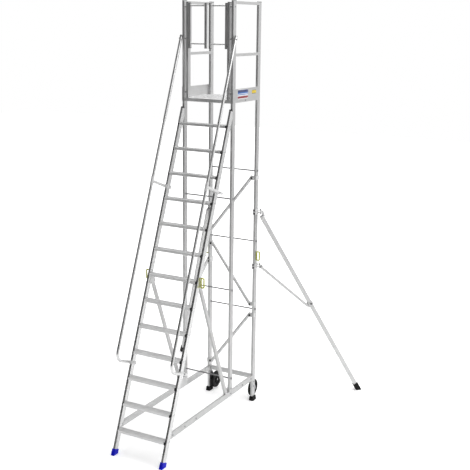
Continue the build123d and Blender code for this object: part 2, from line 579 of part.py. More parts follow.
# ---- rivets, bolts and nuts -----------------------------------------------------------------------
RIVET_R, BOLT_R, NUT_R = 5.0, 8.0, 12.5
with BuildPart() as fasteners:
    for side, sign in SIDES:
        face_dir = (sign, 0, 0)
        rivets = [(sign * OUTER, front_y(RISER * n) + back, RISER * n - 14)
                  for n in range(1, TREADS + 1) for back in (20, 46)]
        with BuildSketch(*[Plane(origin=p, z_dir=face_dir) for p in rivets]) as heads:
            Circle(RIVET_R)
        extrude(heads.sketch, amount=2.5)
        bolts = [(sign * OUTER, FRONT + y, rail_mid) for y in (205, 430, 648, 1385, 1655, 1860)]
        bolts += [(sign * OUTER, REAR_POST, z) for z in (170, 225)]
        bolts += [(sign * OUTER, FRONT_POST, z) for z in (342, SPACERS[2])]
        bolts += [(sign * (OUTER + TOE_THICK), FRONT + 1625, 3484)]
        bolts += [(sign * (HAND_X + HAND_R), *tuple(hand_mid(0, HAND_TOP - 27))[1:])]
        for z in SADDLES:
            middle = hand_mid(0, z) + (saddle_depth + DEEP / 2) * ACROSS
            bolts.append((sign * (HAND_X + HAND_R), middle.Y, middle.Z))
        with BuildSketch(*[Plane(origin=p, z_dir=face_dir) for p in bolts]) as heads:
            RegularPolygon(BOLT_R, 6)
        extrude(heads.sketch, amount=5)
        nuts = [(sign * OUTER, y, z) for y, heights in ((FRONT_POST, FRONT_RODS), (REAR_POST, REAR_RODS))
                for z in heights]
        with BuildSketch(*[Plane(origin=p, z_dir=face_dir) for p in nuts]) as heads:
            RegularPolygon(NUT_R, 6)
            Circle(ROD_R, mode=Mode.SUBTRACT)
        extrude(heads.sketch, amount=9)
        axle = Plane(origin=(sign * INNER, WHEEL_Y, WHEEL_Z), z_dir=face_dir)
        with BuildSketch(axle) as heads:
            RegularPolygon(NUT_R, 6)
        extrude(heads.sketch, amount=9)
save(fasteners, "fasteners")
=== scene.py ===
from math import atan, cos, radians, sin

import bmesh
import bpy
import numpy as np
from mathutils import Matrix, Vector


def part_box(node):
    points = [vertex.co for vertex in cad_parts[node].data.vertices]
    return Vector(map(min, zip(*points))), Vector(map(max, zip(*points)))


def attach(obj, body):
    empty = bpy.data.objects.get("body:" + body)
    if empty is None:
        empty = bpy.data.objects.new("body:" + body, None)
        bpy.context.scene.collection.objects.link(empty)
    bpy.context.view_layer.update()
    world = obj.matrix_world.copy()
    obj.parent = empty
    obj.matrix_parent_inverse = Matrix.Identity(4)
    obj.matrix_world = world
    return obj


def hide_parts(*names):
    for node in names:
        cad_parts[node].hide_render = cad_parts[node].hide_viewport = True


bl_info = {
    "name": "Platform Ladder Finisher",
    "version": (1, 0, 0),
    "blender": (4, 5, 0),
    "location": "View3D > Sidebar > Ladder",
    "description": "Gives a mobile platform ladder its metal, rubber and plastic parts and a studio",
    "category": "Object",
}

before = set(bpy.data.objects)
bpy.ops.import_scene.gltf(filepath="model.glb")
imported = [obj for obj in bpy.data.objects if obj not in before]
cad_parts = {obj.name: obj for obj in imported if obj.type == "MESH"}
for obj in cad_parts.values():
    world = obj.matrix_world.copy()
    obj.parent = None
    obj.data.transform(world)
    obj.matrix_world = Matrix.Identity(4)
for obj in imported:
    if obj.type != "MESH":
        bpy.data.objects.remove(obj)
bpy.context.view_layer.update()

# ---- places of the ladder, in metres ------------------------------------------------------
REAR_POST = sum(corner.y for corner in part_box("rear_posts_lower")) / 2
FRONT = REAR_POST - 1.929         # the stringers' front faces at floor level
RUN = 0.39                        # travel of the stringers per unit of height
LEAN = atan(RUN)
UP = np.array([0.0, sin(LEAN), cos(LEAN)])
BACK = np.array([0.0, cos(LEAN), -sin(LEAN)])
X_AXIS, Y_AXIS, Z_AXIS = np.eye(3)
RISER, TREADS = 0.25, 13
SIDE_X, HALF_TUBE, DEEP = 0.29, 0.0125, 0.06
OUTER = SIDE_X + HALF_TUBE
INNER = SIDE_X - HALF_TUBE
FRONT_POST = FRONT + 1.385
STANCE = radians(43.7)            # the outriggers' turn from the X axis
HAND_X, HAND_R, HAND_FORWARD = 0.322, 0.015, 0.242
FRONT_RODS, REAR_RODS = (0.460, 1.472, 2.470), (1.108, 1.902, 2.694)
RAIL_MID = 0.283                  # height of the base rails' centre lines
BOARD_FACE = OUTER + 0.0025       # outer faces of the toe boards
CLAMP_FACE = REAR_POST - 0.042    # front faces of the clamps on the diagonals
COLLAR_FACE = REAR_POST - 0.036   # front faces of the outriggers' collars
COLLAR_HEIGHTS = (2.237, 1.616)
SWING_X, SWING_Y = 0.332, FRONT + 1.966       # the outriggers' upright swing axes
LEG_REACH, LEG_LEAN = 1.266, 0.574            # a leg's reach at the floor, and its loss per unit of height
WHEEL_X, WHEEL_Y, WHEEL_Z = 0.248, FRONT + 2.010, 0.115
SIDES = (("left", -1), ("right", 1))
TAU = 2 * np.pi


def front_y(z):
    """Y of the stringers' front faces at a height."""
    return FRONT + RUN * z


def stringer_mid(x, z):
    """A point on a stringer's centre line."""
    return np.array([x, front_y(z) + DEEP / 2 / cos(LEAN), z])


def hand_mid(x, z):
    """A point on a handrail's centre line."""
    return np.array([x, front_y(z) - HAND_FORWARD, z])


# ---- surfaces ------------------------------------------------------------------------------
def grid_faces(rows, columns, first=0):
    """Quads of a grid whose columns wrap round: cell (i, j) joins rows i and i+1 and columns j and j+1."""
    i, j = np.meshgrid(np.arange(rows - 1), np.arange(columns), indexing="ij")
    k = (j + 1) % columns
    quads = np.stack([i * columns + j, i * columns + k, (i + 1) * columns + k, (i + 1) * columns + j], -1)
    return quads.reshape(-1, 4) + first


def closed_surface(rings):
    """Vertices and faces of a closed skin over rings (rows, columns, 3), with its two end rings fanned to
    their own middle points."""
    rows, columns = rings.shape[:2]
    middles = rings[[0, -1]].mean(axis=1)
    vertices = np.concatenate([rings.reshape(-1, 3), middles])
    around = np.arange(columns)
    onward = (around + 1) % columns
    low, high = rows * columns, rows * columns + 1
    start = np.stack([np.full(columns, low), onward, around], -1)
    last = (rows - 1) * columns
    end = np.stack([np.full(columns, high), last + around, last + onward], -1)
    return vertices, [grid_faces(rows, columns), start, end]


def looped_surface(rings):
    """Vertices and faces of a skin over rings that close on themselves both ways, as a torus does."""
    rows, columns = rings.shape[:2]
    again = np.concatenate([rings, rings[:1]])
    quads = grid_faces(rows + 1, columns) % (rows * columns)
    return again[:-1].reshape(-1, 3), [quads]


class Skin:
    """Gathers several surfaces into one mesh."""

    def __init__(self):
        self.points, self.faces, self.count = [], [], 0

    def add(self, surface):
        """Adds one (vertices, faces) pair."""
        vertices, faces = surface
        self.points.append(vertices)
        self.faces += [f + self.count for f in faces]
        self.count += len(vertices)

    def make(self, name, body, material, smooth=50.0, replaces=()):
        """Makes the object, rides it on its body and names its finish."""
        mesh = bpy.data.meshes.new(name)
        rows = [face for block in self.faces for face in block.tolist()]
        mesh.from_pydata(np.concatenate(self.points).tolist(), [], rows)
        mesh.validate()
        mesh.materials.append(material)
        piece = bpy.data.objects.new(name, mesh)
        bpy.context.scene.collection.objects.link(piece)
        turn_outward(mesh)
        mesh.shade_smooth()
        mesh.set_sharp_from_angle(angle=radians(smooth))
        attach(piece, body)
        if replaces:
            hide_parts(*replaces)
        return piece


def turn_outward(mesh):
    """Recalculates the faces' directions so that each closed shell faces out."""
    shell = bmesh.new()
    shell.from_mesh(mesh)
    bmesh.ops.recalc_face_normals(shell, faces=shell.faces)
    shell.to_mesh(mesh)
    shell.free()


def unit(v):
    """A vector at length one."""
    v = np.asarray(v, float)
    return v / np.linalg.norm(v)


def square_to(axis):
    """Two unit vectors square to an axis and to each other."""
    axis = unit(axis)
    helper = Z_AXIS if abs(axis[2]) < 0.9 else X_AXIS
    first = unit(np.cross(helper, axis))
    return first, np.cross(axis, first)


def turned(centre, axis, profile, count=24, sides=None):
    """A turned shape. Profile rows are (radius, height along the axis). With sides given, the outline is that
    polygon: the radius at angle a is r cos(pi/n) / cos((a mod 2pi/n) - pi/n), blended by the third column
    from round (0) to polygon (1)."""
    profile = np.asarray(profile, float)
    angle = np.arange(count) * TAU / count
    u, v = square_to(axis)
    radius = np.repeat(profile[:, :1], count, axis=1)
    if sides:
        wedge = TAU / sides
        shape = cos(wedge / 2) / np.cos(angle % wedge - wedge / 2)
        radius = radius * (1 + profile[:, 2:3] * (shape[None, :] - 1))
    ring = np.cos(angle)[:, None] * u + np.sin(angle)[:, None] * v
    rings = np.asarray(centre) + radius[..., None] * ring[None] + profile[:, 1, None, None] * unit(axis)
    return closed_surface(rings)


def bead(centre, axis, ring_radius, radius, count=48, ripples=22):
    """A weld bead: a torus whose tube radius, at angle a round the joint, is its own radius times
    1 + 0.14 |sin(ripples a / 2)|."""
    u, v = square_to(axis)
    a = np.arange(count) * TAU / count
    b = np.arange(8) * TAU / 8
    swell = radius * (1 + 0.14 * np.abs(np.sin(a * ripples / 2)))
    out = np.cos(a)[:, None] * u + np.sin(a)[:, None] * v
    rings = (np.asarray(centre) + (ring_radius + swell[:, None] * np.cos(b))[..., None] * out[:, None]
             + (swell[:, None] * np.sin(b))[..., None] * unit(axis))
    return looped_surface(rings)


def rounded_loop(half_a, half_b, corner, per_corner=8):
    """Points of a rounded rectangle: the corner centres plus corner times the unit circle, by quarters."""
    quarter = np.arange(4 * per_corner) // per_corner
    a = quarter * TAU / 4 + np.tile(np.linspace(0, TAU / 4, per_corner), 4)
    sign_a = np.array([1, -1, -1, 1])[quarter]
    sign_b = np.array([1, 1, -1, -1])[quarter]
    return np.stack([sign_a * (half_a - corner) + corner * np.cos(a),
                     sign_b * (half_b - corner) + corner * np.sin(a)], -1)


def boot(top, axis, side, deep, half_side, half_deep, corner, profile, floor=0.0):
    """A rubber boot on a tube. Each ring is a rounded rectangle square to the axis, and each of its points is
    slid along the axis to a share of the way from the floor plane (0) to the top (1). Profile rows are (share,
    growth of the half sizes)."""
    axis = unit(axis)
    rings = []
    for share, grow in profile:
        loop = rounded_loop(half_side + grow, half_deep + grow, max(corner + grow, 0.001))
        flat = np.asarray(top) + loop[:, :1] * side + loop[:, 1:] * deep
        reach = (flat[:, 2] - floor) / -axis[2]
        rings.append(flat + axis * (reach * (1 - share))[:, None])
    return closed_surface(np.array(rings))


def ring_of_tube(path, normal, radius, count=12):
    """A round rod bent along a closed flat path: at each point, cos(b) across the path plus sin(b) along the
    plane's normal, times the radius."""
    path = np.asarray(path, float)
    ahead = np.roll(path, -1, axis=0) - np.roll(path, 1, axis=0)
    ahead /= np.linalg.norm(ahead, axis=1)[:, None]
    across = np.cross(ahead, normal)
    b = np.arange(count) * TAU / count
    rings = path[:, None] + radius * (np.cos(b)[None, :, None] * across[:, None]
                                      + np.sin(b)[None, :, None] * np.asarray(normal))
    return looped_surface(rings)


# ---- shader node groups ---------------------------------------------------------------------
def new_group(name, inputs, outputs):
    """A shader node group with its sockets, and its input and output nodes."""
    tree = bpy.data.node_groups.new(name, "ShaderNodeTree")
    for label, kind, value in inputs:
        socket = tree.interface.new_socket(label, in_out="INPUT", socket_type=kind)
        if value is not None:
            socket.default_value = value
    for label, kind in outputs:
        tree.interface.new_socket(label, in_out="OUTPUT", socket_type=kind)
    return tree, tree.nodes.new("NodeGroupInput"), tree.nodes.new("NodeGroupOutput")


def node(tree, kind, settings=None, **inputs):
    """A node with its settings, and its inputs either set or linked. Inputs called n0 or n1 go by number."""
    made = tree.nodes.new(kind)
    for name, value in (settings or {}).items():
        setattr(made, name, value)
    for name, value in inputs.items():
        numbered = name[0] == "n" and name[1:].isdigit()
        socket = made.inputs[int(name[1:]) if numbered else name.replace("_", " ")]
        if isinstance(value, bpy.types.NodeSocket):
            tree.links.new(value, socket)
        else:
            socket.default_value = value
    return made


def math(tree, operation, a, b=0.0):
    """The output of a Math node."""
    return node(tree, "ShaderNodeMath", {"operation": operation}, n0=a, n1=b).outputs[0]


def ramped(tree, value, low, high, to_low=0.0, to_high=1.0):
    """The output of a clamped Map Range node."""
    made = node(tree, "ShaderNodeMapRange", {}, Value=value)
    for label, number in (("From Min", low), ("From Max", high), ("To Min", to_low), ("To Max", to_high)):
        made.inputs[label].default_value = number
    return made.outputs[0]


def drawn_lines_group():
    """Die lines of an extrusion: noise squeezed hard across the length, with a slower band of tone."""
    tree, given, result = new_group(
        "Drawn lines", [("Vector", "NodeSocketVector", None), ("Pitch", "NodeSocketFloat", 900.0)],
        [("Height", "NodeSocketFloat"), ("Tone", "NodeSocketFloat")])
    stretch = node(tree, "ShaderNodeVectorMath", {"operation": "MULTIPLY"}, n0=given.outputs["Vector"],
                   n1=(1.0, 1.0, 0.004)).outputs[0]
    fine = node(tree, "ShaderNodeTexNoise", {}, Vector=stretch, Scale=given.outputs["Pitch"], Detail=2.0)
    broad = node(tree, "ShaderNodeTexNoise", {}, Vector=stretch, Scale=140.0, Detail=2.0)
    tree.links.new(fine.outputs[0], result.inputs["Height"])
    both = math(tree, "ADD", math(tree, "MULTIPLY", fine.outputs[0], 0.4),
                math(tree, "MULTIPLY", broad.outputs[0], 0.6))
    tree.links.new(ramped(tree, both, 0.32, 0.68), result.inputs["Tone"])
    return tree


def edge_wear_group():
    """Edges: where the rounded normal leaves the true one, broken up by noise."""
    tree, given, result = new_group(
        "Edge wear", [("Vector", "NodeSocketVector", None), ("Width", "NodeSocketFloat", 0.001)],
        [("Mask", "NodeSocketFloat")])
    rounded = node(tree, "ShaderNodeBevel", {"samples": 4}, Radius=given.outputs["Width"])
    plain = node(tree, "ShaderNodeNewGeometry")
    dot = node(tree, "ShaderNodeVectorMath", {"operation": "DOT_PRODUCT"}, n0=rounded.outputs[0],
               n1=plain.outputs["Normal"]).outputs["Value"]
    edge = ramped(tree, dot, 0.995, 0.9)
    chips = node(tree, "ShaderNodeTexNoise", {}, Vector=given.outputs["Vector"], Scale=160.0, Detail=3.0)
    broken = ramped(tree, chips.outputs[0], 0.38, 0.62)
    tree.links.new(math(tree, "MULTIPLY", edge, broken), result.inputs["Mask"])
    return tree


def handling_group():
    """Handling: soft cloudy smudges and a few short scuffs."""
    tree, given, result = new_group(
        "Handling marks", [("Vector", "NodeSocketVector", None)],
        [("Smudge", "NodeSocketFloat"), ("Scuff", "NodeSocketFloat")])
    cloud = node(tree, "ShaderNodeTexNoise", {}, Vector=given.outputs["Vector"], Scale=9.0, Detail=5.0)
    tree.links.new(ramped(tree, cloud.outputs[0], 0.45, 0.7), result.inputs["Smudge"])
    skew = node(tree, "ShaderNodeVectorMath", {"operation": "MULTIPLY"}, n0=given.outputs["Vector"],
                n1=(260.0, 260.0, 30.0)).outputs[0]
    short = node(tree, "ShaderNodeTexNoise", {}, Vector=skew, Scale=1.0, Detail=1.0)
    patch = node(tree, "ShaderNodeTexNoise", {}, Vector=given.outputs["Vector"], Scale=14.0, Detail=2.0)
    scuff = math(tree, "MULTIPLY", ramped(tree, short.outputs[0], 0.66, 0.74),
                 ramped(tree, patch.outputs[0], 0.52, 0.6))
    tree.links.new(scuff, result.inputs["Scuff"])
    return tree


def moulded_group():
    """Spark-eroded mould grain: small cells under fine noise."""
    tree, given, result = new_group(
        "Moulded grain", [("Vector", "NodeSocketVector", None), ("Grain", "NodeSocketFloat", 900.0)],
        [("Height", "NodeSocketFloat")])
    cells = node(tree, "ShaderNodeTexVoronoi", {"feature": "SMOOTH_F1"}, Vector=given.outputs["Vector"],
                 Scale=given.outputs["Grain"])
    noise = node(tree, "ShaderNodeTexNoise", {}, Vector=given.outputs["Vector"], Scale=given.outputs["Grain"],
                 Detail=3.0)
    tree.links.new(math(tree, "ADD", cells.outputs[0], math(tree, "MULTIPLY", noise.outputs[0], 0.5)),
                   result.inputs["Height"])
    return tree


GROUPS = {}


def use(tree, name, **inputs):
    """Places one of the shared groups in a material."""
    makers = {"Drawn lines": drawn_lines_group, "Edge wear": edge_wear_group,
              "Handling marks": handling_group, "Moulded grain": moulded_group}
    if name not in GROUPS:
        GROUPS[name] = makers[name]()
    placed = tree.nodes.new("ShaderNodeGroup")
    placed.node_tree = GROUPS[name]
    for label, value in inputs.items():
        if isinstance(value, bpy.types.NodeSocket):
            tree.links.new(value, placed.inputs[label])
        else:
            placed.inputs[label].default_value = value
    return placed


def mixed(tree, share, a, b):
    """The colour between a and b by share."""
    made = tree.nodes.new("ShaderNodeMix")
    made.data_type = "RGBA"
    for index, value in ((0, share), (6, a), (7, b)):
        if isinstance(value, bpy.types.NodeSocket):
            tree.links.new(value, made.inputs[index])
        else:
            made.inputs[index].default_value = value if index == 0 else (*value, 1.0)
    return made.outputs[2]


def blank(name):
    """A material with only its output and Principled nodes, and its Object coordinates."""
    material = bpy.data.materials.new(name)
    material.use_nodes = True
    tree = material.node_tree
    shader = tree.nodes["Principled BSDF"]
    place = tree.nodes.new("ShaderNodeTexCoord").outputs["Object"]
    return material, tree, shader, place


def metal(name, colour, roughness=0.34, along=(0.0, 0.0, 0.0), lines=1.0, pitch=900.0, metallic=0.8,
          wear=0.0008):
    """Satin aluminium or zinc: die lines along the length, paler edges, smudges and scuffs. Along turns the
    pattern's Z onto the length of the part."""
    material, tree, shader, place = blank(name)
    turn = node(tree, "ShaderNodeMapping", {"vector_type": "TEXTURE"}, Vector=place,
                Rotation=along).outputs[0]
    drawn = use(tree, "Drawn lines", Vector=turn, Pitch=pitch)
    edge = use(tree, "Edge wear", Vector=place, Width=wear).outputs["Mask"]
    marks = use(tree, "Handling marks", Vector=turn)
    dark = tuple(c * 0.86 for c in colour)
    pale = tuple(min(1.0, c * 1.12) for c in colour)
    tone = mixed(tree, math(tree, "MULTIPLY", drawn.outputs["Tone"], lines * 0.55), colour, dark)
    tone = mixed(tree, math(tree, "MULTIPLY", marks.outputs["Smudge"], 0.22), tone, dark)
    tone = mixed(tree, math(tree, "MAXIMUM", math(tree, "MULTIPLY", edge, 0.8),
                            math(tree, "MULTIPLY", marks.outputs["Scuff"], 0.5)), tone, pale)
    tree.links.new(tone, shader.inputs["Base Color"])
    rough = math(tree, "ADD", roughness, math(tree, "MULTIPLY", drawn.outputs["Tone"], 0.07 * lines))
    rough = math(tree, "ADD", rough, math(tree, "MULTIPLY", marks.outputs["Smudge"], 0.08))
    tree.links.new(rough, shader.inputs["Roughness"])
    shader.inputs["Metallic"].default_value = metallic
    bump = node(tree, "ShaderNodeBump", {}, Strength=0.25 * lines, Distance=0.00012,
                Height=drawn.outputs["Height"])
    tree.links.new(bump.outputs[0], shader.inputs["Normal"])
    return material


def moulded(name, colour, roughness=0.5, grain=900.0, depth=0.0002, coat=0.0, dust=0.25, wear=0.0012,
            specular=0.22):
    """Rubber or plastic: mould grain, dust in smudges, scuffed edges."""
    material, tree, shader, place = blank(name)
    bumps = use(tree, "Moulded grain", Vector=place, Grain=grain)
    edge = use(tree, "Edge wear", Vector=place, Width=wear).outputs["Mask"]
    marks = use(tree, "Handling marks", Vector=place)
    pale = tuple(c * 0.8 + 0.018 for c in colour)
    tone = mixed(tree, math(tree, "MULTIPLY", marks.outputs["Smudge"], dust), colour, pale)
    rubbed = math(tree, "MAXIMUM", edge, marks.outputs["Scuff"])
    tone = mixed(tree, math(tree, "MULTIPLY", rubbed, 0.5), tone, pale)
    tree.links.new(tone, shader.inputs["Base Color"])
    tree.links.new(math(tree, "ADD", roughness, math(tree, "MULTIPLY", marks.outputs["Smudge"], 0.15)),
                   shader.inputs["Roughness"])
    shader.inputs["Coat Weight"].default_value = coat
    shader.inputs["Specular IOR Level"].default_value = specular
    bump = node(tree, "ShaderNodeBump", {}, Strength=0.5, Distance=depth, Height=bumps.outputs["Height"])
    tree.links.new(bump.outputs[0], shader.inputs["Normal"])
    return material


def banded(name, bands, low, high):
    """A printed sheet: flat bands of colour by height, with faint print grain and rubbed spots."""
    material, tree, shader, place = blank(name)
    height = node(tree, "ShaderNodeSeparateXYZ", {}, Vector=place).outputs["Z"]
    share = ramped(tree, height, low, high)
    ramp = node(tree, "ShaderNodeValToRGB", {}, Fac=share)
    ramp.color_ramp.interpolation = "CONSTANT"
    points = ramp.color_ramp.elements
    for index, (start, colour) in enumerate(bands):
        point = points[index] if index < 2 else points.new(start)
        point.position = start
        point.color = (*colour, 1.0)
    marks = use(tree, "Handling marks", Vector=place)
    rubbed = node(tree, "ShaderNodeMix", {"data_type": "RGBA"})
    tree.links.new(math(tree, "MULTIPLY", marks.outputs["Smudge"], 0.12), rubbed.inputs[0])
    tree.links.new(ramp.outputs[0], rubbed.inputs[6])
    rubbed.inputs[7].default_value = (0.6, 0.6, 0.6, 1.0)
    tree.links.new(rubbed.outputs[2], shader.inputs["Base Color"])
    grain = use(tree, "Moulded grain", Vector=place, Grain=2500.0)
    bump = node(tree, "ShaderNodeBump", {}, Strength=0.15, Distance=0.00005, Height=grain.outputs["Height"])
    tree.links.new(bump.outputs[0], shader.inputs["Normal"])
    tree.links.new(math(tree, "ADD", 0.3, math(tree, "MULTIPLY", marks.outputs["Smudge"], 0.2)),
                   shader.inputs["Roughness"])
    return material


# ---- what a user would change ------------------------------------------------------------------
def colour_property(name, description, default):
    """A colour in a property group."""
    return bpy.props.FloatVectorProperty(name=name, description=description, subtype="COLOR", size=3,
                                         min=0.0, max=1.0, default=default)


def length_property(name, description, default):
    """A length in a property group."""
    return bpy.props.FloatProperty(name=name, description=description, unit="LENGTH", min=0.0,
                                   default=default)


class LadderFinishes(bpy.types.PropertyGroup):
    """Colours of the ladder's materials."""

    aluminium: colour_property("Aluminium", "Colour of the extruded posts and rails", (0.68, 0.68, 0.68))
    bright: colour_property("Bright aluminium", "Colour of the stringers and handrails", (0.90, 0.90, 0.90))
    round: colour_property("Round tubes", "Colour of the diagonals and the outriggers", (0.82, 0.82, 0.82))
    treads: colour_property("Treads", "Colour of the treads and the platform", (0.88, 0.88, 0.88))
    castings: colour_property("Castings", "Colour of brackets, collars and clamps", (0.80, 0.80, 0.80))
    zinc: colour_property("Zinc", "Colour of bolts, nuts and rivets", (0.42, 0.42, 0.43))
    rods: colour_property("Tie rods", "Colour of the threaded tie rods", (0.26, 0.26, 0.27))
    boots: colour_property("Front boots", "Colour of the front rubber boots", (0.003, 0.006, 0.60))
    black: colour_property("Black parts", "Colour of caps, plugs, hubs and rear feet", (0.008, 0.008, 0.009))
    handles: colour_property("Pin handles", "Colour of the locking pins' loops", (0.56, 0.58, 0.012))


class LadderDetails(bpy.types.PropertyGroup):
    """Sizes of the ladder's small parts."""

    rivet: length_property("Rivet radius", "Radius of a rivet's domed head", 0.005)
    bolt: length_property("Bolt head radius", "Corner radius of a bolt's hexagon head", 0.008)
    washer: length_property("Washer radius", "Outer radius of a bolt's washer", 0.0095)
    nut: length_property("Nut radius", "Corner radius of a tie rod's nut", 0.0125)
    weld: length_property("Weld bead", "Radius of a weld bead", 0.0022)
    loop: length_property("Pin loop", "Radius of the rod that a pin's loop is bent from", 0.0075)
    groove: length_property("Tyre groove", "Depth of the tyres' grooves", 0.003)


class LadderStudio(bpy.types.PropertyGroup):
    """Camera, floor and light."""

    lens: bpy.props.FloatProperty(name="Lens", description="Focal length in millimetres", default=67.86)
    eye: bpy.props.FloatVectorProperty(name="Camera place", description="Where the camera stands",
                                       subtype="TRANSLATION", unit="LENGTH",
                                       default=(4.7128, FRONT - 6.5918, 4.2694))
    heading: bpy.props.FloatProperty(name="Heading", description="Turn of the camera to the left of +Y",
                                     subtype="ANGLE", default=radians(28.78))
    dip: bpy.props.FloatProperty(name="Dip", description="How far the camera looks down",
                                 subtype="ANGLE", default=radians(13.483))
    tilt: bpy.props.FloatProperty(name="Tilt", description="Roll of the camera",
                                  subtype="ANGLE", default=radians(0.682))
    floor: colour_property("Floor", "Colour of the studio floor", (0.92, 0.92, 0.92))
    key: bpy.props.FloatProperty(name="Key light", description="Power of the main light", default=135.0)


def finishes():
    """The scene's colours."""
    return bpy.context.scene.ladder_finishes


def details():
    """The scene's small sizes."""
    return bpy.context.scene.ladder_details


MADE = {}


def shared(name):
    """A material by its maker's name, made once."""
    colours = finishes()
    pick = lambda key: tuple(getattr(colours, key))
    lean = (-LEAN, 0.0, 0.0)
    side, ahead = (0.0, radians(90), 0.0), (radians(90), 0.0, 0.0)
    recipes = {
        "tube upright": lambda: metal("tube upright", pick("aluminium")),
        "tube leaning": lambda: metal("tube leaning", pick("bright"), along=lean, roughness=0.22,
                                      metallic=0.92),
        "round tube": lambda: metal("round tube", pick("round"), along=side, roughness=0.46, metallic=0.6),
        "tube level": lambda: metal("tube level", pick("aluminium"), along=ahead),
        "tread ribs": lambda: metal("tread ribs", pick("treads"), along=side, roughness=0.38, pitch=600.0),
        "tie rod": lambda: metal("tie rod", pick("rods"), along=side, roughness=0.42, lines=0.5,
                                 metallic=0.5),
        "casting": lambda: metal("casting", pick("castings"), roughness=0.5, lines=0.35, pitch=300.0,
                                 metallic=0.35),
        "zinc": lambda: metal("zinc", pick("zinc"), roughness=0.28, lines=0.2, metallic=0.95, wear=0.0004),
        "black plastic": lambda: moulded("black plastic", pick("black"), roughness=0.42),
        "black rubber": lambda: moulded("black rubber", pick("black"), roughness=0.62, grain=500.0,
                                        depth=0.0004),
        "tyre": lambda: moulded("tyre", pick("black"), roughness=0.6, grain=420.0, depth=0.0005, dust=0.4),
        "blue rubber": lambda: moulded("blue rubber", pick("boots"), roughness=0.36, grain=450.0, coat=0.03,
                                       dust=0.06, specular=0.2),
        "pin handle": lambda: moulded("pin handle", pick("handles"), roughness=0.26, grain=200.0, coat=0.5,
                                      dust=0.15, specular=0.5),
    }
    if name not in MADE:
        MADE[name] = recipes[name]()
    return MADE[name]


# which finish each CAD node wears
FINISH_OF = {
    "stringer": "tube leaning", "splice_tubes": "tube leaning", "handrails": "tube leaning",
    "front_posts": "tube upright", "rear_posts": "tube upright", "gate_posts": "tube upright",
    "gate_left": "tube upright", "gate_right": "tube upright", "side_braces": "tube upright",
    "base_rails": "tube level", "guard_rails": "tube level", "toe_boards": "tube level",
    "rear_diagonals": "round tube", "tie_rods": "tie rod", "outrigger_leg": "round tube",
    "outrigger_strut": "round tube", "tread_end_plugs": "black plastic", "tread": "tread ribs",
    "deck": "tread ribs", "joint_plates": "casting", "diagonal_clamps": "casting",
    "handrail_brackets": "casting", "outrigger_collars": "casting", "gate_hinges": "zinc",
    "wheel_brackets": "zinc", "fasteners": "zinc", "tube_caps": "black plastic",
    "gate_caps": "black plastic", "wheel_hub": "black plastic", "wheel_tyre": "tyre",
    "rear_feet": "black rubber", "outrigger_foot": "black rubber", "front_feet": "blue rubber",
    "lock_pin": "pin handle",
}


def finish_for(name):
    """The finish with the longest matching start of the node's name."""
    keys = [key for key in FINISH_OF if name.startswith(key)]
    if not keys:
        raise RuntimeError(f"no finish is set for {name}")
    return shared(FINISH_OF[max(keys, key=len)])


class LadderOperator:
    """What the ladder's operators share."""

    bl_options = {"REGISTER", "UNDO"}

    def execute(self, context):
        """Runs the operator's own build method."""
        self.build(context)
        return {"FINISHED"}


class LADDER_OT_finish_metal(LadderOperator, bpy.types.Operator):
    """Gives every CAD part its finish"""

    bl_idname = "ladder.finish_metal"
    bl_label = "Finish parts"

    def build(self, context):
        for name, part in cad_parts.items():
            finish = finish_for(name)
            if not part.material_slots:
                part.data.materials.append(finish)
            for slot in part.material_slots:
                slot.material = finish


class LADDER_OT_front_boots(LadderOperator, bpy.types.Operator):
    """Moulds the two rubber boots on the stringers' ends"""

    bl_idname = "ladder.front_boots"
    bl_label = "Front boots"

    def build(self, context):
        skin = Skin()
        for _, sign in SIDES:
            top = stringer_mid(sign * SIDE_X, 0.052)
            profile = [(0.0, -0.003), (0.03, 0.0), (0.13, 0.0), (0.16, -0.0016), (0.24, -0.0016), (0.27, 0.0),
                       (0.37, -0.0003), (0.40, -0.0018), (0.47, -0.0020), (0.50, -0.0006), (0.84, -0.0022),
                       (0.87, -0.0012), (0.97, -0.0012), (1.0, -0.0030), (1.0, -0.0080)]
            skin.add(boot(top, UP, X_AXIS, BACK, 0.0205, 0.038, 0.006, profile))
        skin.make("front_boots", "frame", shared("blue rubber"), 35.0, ["front_feet"])


class LADDER_OT_rear_boots(LadderOperator, bpy.types.Operator):
    """Moulds the tapered rubber feet under the rear posts"""

    bl_idname = "ladder.rear_boots"
    bl_label = "Rear feet"

    def build(self, context):
        skin = Skin()
        for _, sign in SIDES:
            top = np.array([sign * SIDE_X, REAR_POST, 0.050])
            taper = lambda s: -0.0070 * s
            profile = [(0.0, -0.004), (0.04, 0.0), (0.18, taper(0.18)), (0.21, -0.0035), (0.27, -0.0035),
                       (0.30, taper(0.3)), (0.44, taper(0.44)), (0.47, -0.0055), (0.53, -0.0055),
                       (0.56, taper(0.56)), (0.90, taper(0.9)), (1.0, -0.0095), (1.0, -0.0165)]
            skin.add(boot(top, Z_AXIS, X_AXIS, Y_AXIS, 0.0295, 0.046, 0.012, profile))
        skin.make("rear_boots", "frame", shared("black rubber"), 35.0, ["rear_feet"])


